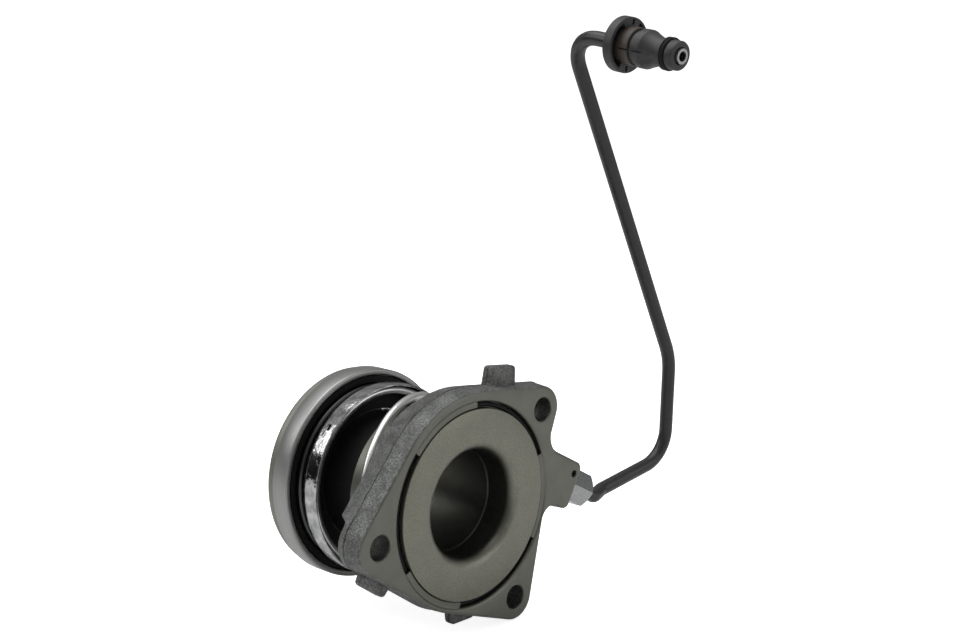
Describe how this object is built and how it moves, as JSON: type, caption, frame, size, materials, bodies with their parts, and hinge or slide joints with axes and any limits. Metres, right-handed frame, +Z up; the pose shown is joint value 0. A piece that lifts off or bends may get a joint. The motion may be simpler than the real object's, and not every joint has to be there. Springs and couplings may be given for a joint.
{
  "type": "concentric slave cylinder",
  "caption": "Ring-shaped hydraulic clutch actuator with a cast three-eared flange, release bearing on a sliding ring piston, preload spring and bent pressure pipe.",
  "frame": {"origin": "where the cylinder's axis meets the mounting face", "axes": "+Y along the cylinder's axis from the mounting face towards the clutch, +Z up towards the pipe's free end, +X towards the port"},
  "size_m": [0.1567, 0.1075, 0.1952],
  "materials": {
    "cast_aluminium": "as cast, faces machined",
    "sleeve_steel": "satin, drawn sheet",
    "spring_steel": "bright wire",
    "polished_steel": "polished",
    "ring_steel": "satin, turned",
    "zinc_plate": "zinc plated",
    "black_coating": "black plastic coating on steel",
    "black_rubber": "matte",
    "black_plastic": "matte",
    "cage_plastic": "natural"
  },
  "bodies": {
    "housing": {"housing": "cast_aluminium", "guide_sleeve": "sleeve_steel", "face_o_ring": "black_rubber", "sleeve_o_ring": "black_rubber", "dust_wiper": "black_rubber", "stop_ring": "ring_steel", "preload_spring": "spring_steel", "tube_nut": "zinc_plate", "pressure_pipe": "black_coating", "connector_nose": "black_plastic", "connector_o_ring": "black_rubber", "connector_barrel": "black_plastic", "bulkhead_bush": "black_plastic"},
    "carriage": {"piston": "black_plastic", "piston_seal": "black_rubber", "piston_clip": "ring_steel", "spring_cup": "polished_steel", "spring_seat": "black_plastic", "centring_washer": "spring_steel", "bearing_inner_ring": "ring_steel"},
    "bearing_outer": {"bearing_outer_ring": "ring_steel", "bearing_near_seal": "black_rubber", "bearing_far_seal": "black_rubber"},
    "ball_set": {"bearing_cage": "cage_plastic", "ball_01": "ring_steel", "ball_02": "ring_steel", "ball_03": "ring_steel", "ball_04": "ring_steel", "ball_05": "ring_steel", "ball_06": "ring_steel", "ball_07": "ring_steel", "ball_08": "ring_steel", "ball_09": "ring_steel", "ball_10": "ring_steel", "ball_11": "ring_steel", "ball_12": "ring_steel", "ball_13": "ring_steel", "ball_14": "ring_steel"}
  },
  "joints": [
    {"name": "release_stroke", "type": "slide", "parent": "housing", "child": "carriage", "axis": [0, -1, 0], "range_m": [0, 0.017], "stiffness_N_per_m": 2500, "springref_m": -0.012, "deforming": ["preload_spring"]},
    {"name": "bearing_spin", "type": "hinge", "parent": "carriage", "child": "bearing_outer", "pos_m": [0, 0.0552, 0], "axis": [0, 1, 0], "continuous": true},
    {"name": "ball_set_spin", "type": "hinge", "parent": "carriage", "child": "ball_set", "pos_m": [0, 0.0552, 0], "axis": [0, 1, 0], "continuous": true}
  ],
  "couplings": [
    {"joint": "ball_set_spin", "follows": "bearing_spin", "ratio": 0.533}
  ]
}
